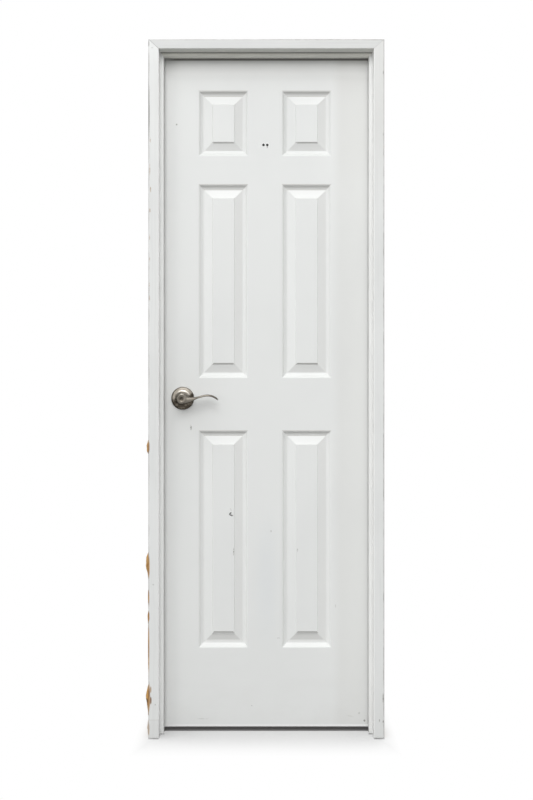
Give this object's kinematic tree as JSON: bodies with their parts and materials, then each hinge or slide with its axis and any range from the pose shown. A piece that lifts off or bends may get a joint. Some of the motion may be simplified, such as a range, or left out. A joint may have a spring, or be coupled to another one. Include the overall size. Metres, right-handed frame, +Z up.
{
  "type": "interior door with frame",
  "caption": "White moulded raised-panel interior door hung on butt hinges in a mitred timber frame with stops, lever set and tubular latch; paint worn, old foam on one jamb.",
  "frame": {"origin": "middle of the opening on the floor line, halfway through the depth of the frame", "axes": "+X across the opening to the hinge side, +Y from the push side to the pull side (the way the leaf opens), +Z up"},
  "size_m": [0.6858, 0.1746, 2.0025],
  "materials": {
    "frame_paint": "brushed white paint on softwood, chipped at the wall edges, grubby at the feet",
    "leaf_paint": "white paint on moulded hardboard, satin, lightly scuffed",
    "softwood": "raw planed softwood, painted white on the outer edge",
    "core_paper": "brown kraft paper",
    "old_foam": "hardened mounting foam, browned and torn",
    "satin_nickel": "satin nickel, warm grey, fine brushing",
    "bright_steel": "zinc plated steel"
  },
  "bodies": {
    "frame": {"strike_jamb": "frame_paint", "hinge_jamb": "frame_paint", "head_jamb": "frame_paint", "strike_stop": "frame_paint", "hinge_stop": "frame_paint", "head_stop": "frame_paint", "corner_screws": "bright_steel", "stop_brads": "bright_steel", "strike_plate": "satin_nickel", "strike_screws": "satin_nickel", "foam_residue": "old_foam", "top_jamb_leaf": "satin_nickel", "middle_jamb_leaf": "satin_nickel", "bottom_jamb_leaf": "satin_nickel", "top_pin": "satin_nickel", "middle_pin": "satin_nickel", "bottom_pin": "satin_nickel", "jamb_hinge_screws": "satin_nickel"},
    "leaf": {"front_skin": "leaf_paint", "back_skin": "leaf_paint", "lock_stile": "softwood", "hinge_stile": "softwood", "top_rail": "softwood", "foot_rail": "softwood", "lock_block": "softwood", "paper_core": "core_paper", "top_door_leaf": "satin_nickel", "middle_door_leaf": "satin_nickel", "bottom_door_leaf": "satin_nickel", "door_hinge_screws": "satin_nickel", "front_rose": "satin_nickel", "back_rose": "satin_nickel", "front_plate": "bright_steel", "back_plate": "bright_steel", "through_screws": "bright_steel", "front_return_spring": "bright_steel", "back_return_spring": "bright_steel", "latch_faceplate": "satin_nickel", "latch_screws": "satin_nickel", "latch_case": "bright_steel", "latch_spring": "bright_steel"},
    "lever_set": {"front_lever": "satin_nickel", "back_lever": "satin_nickel", "spindle": "bright_steel", "grub_screws": "bright_steel"},
    "bolt": {"latch_bolt": "satin_nickel"},
    "button": {"privacy_button": "satin_nickel"}
  },
  "joints": [
    {"name": "leaf_swing", "type": "hinge", "parent": "frame", "child": "leaf", "pos_m": [0.3065, 0.064, 1], "axis": [0, 0, -1], "range_deg": [0, 170]},
    {"name": "lever_turn", "type": "hinge", "parent": "leaf", "child": "lever_set", "pos_m": [-0.245, 0.04, 0.9715], "axis": [0, 1, 0], "range_deg": [0, 45], "stiffness_Nm_per_rad": 1.3, "springref_deg": -25.78},
    {"name": "bolt_slide", "type": "slide", "parent": "leaf", "child": "bolt", "axis": [1, 0, 0], "range_m": [0, 0.0115], "deforming": ["latch_spring"]},
    {"name": "button_press", "type": "slide", "parent": "lever_set", "child": "button", "axis": [0, -1, 0], "range_m": [0, 0.004]}
  ],
  "couplings": [
    {"joint": "bolt_slide", "follows": "lever_turn", "m_per_rad": 0.01464}
  ]
}
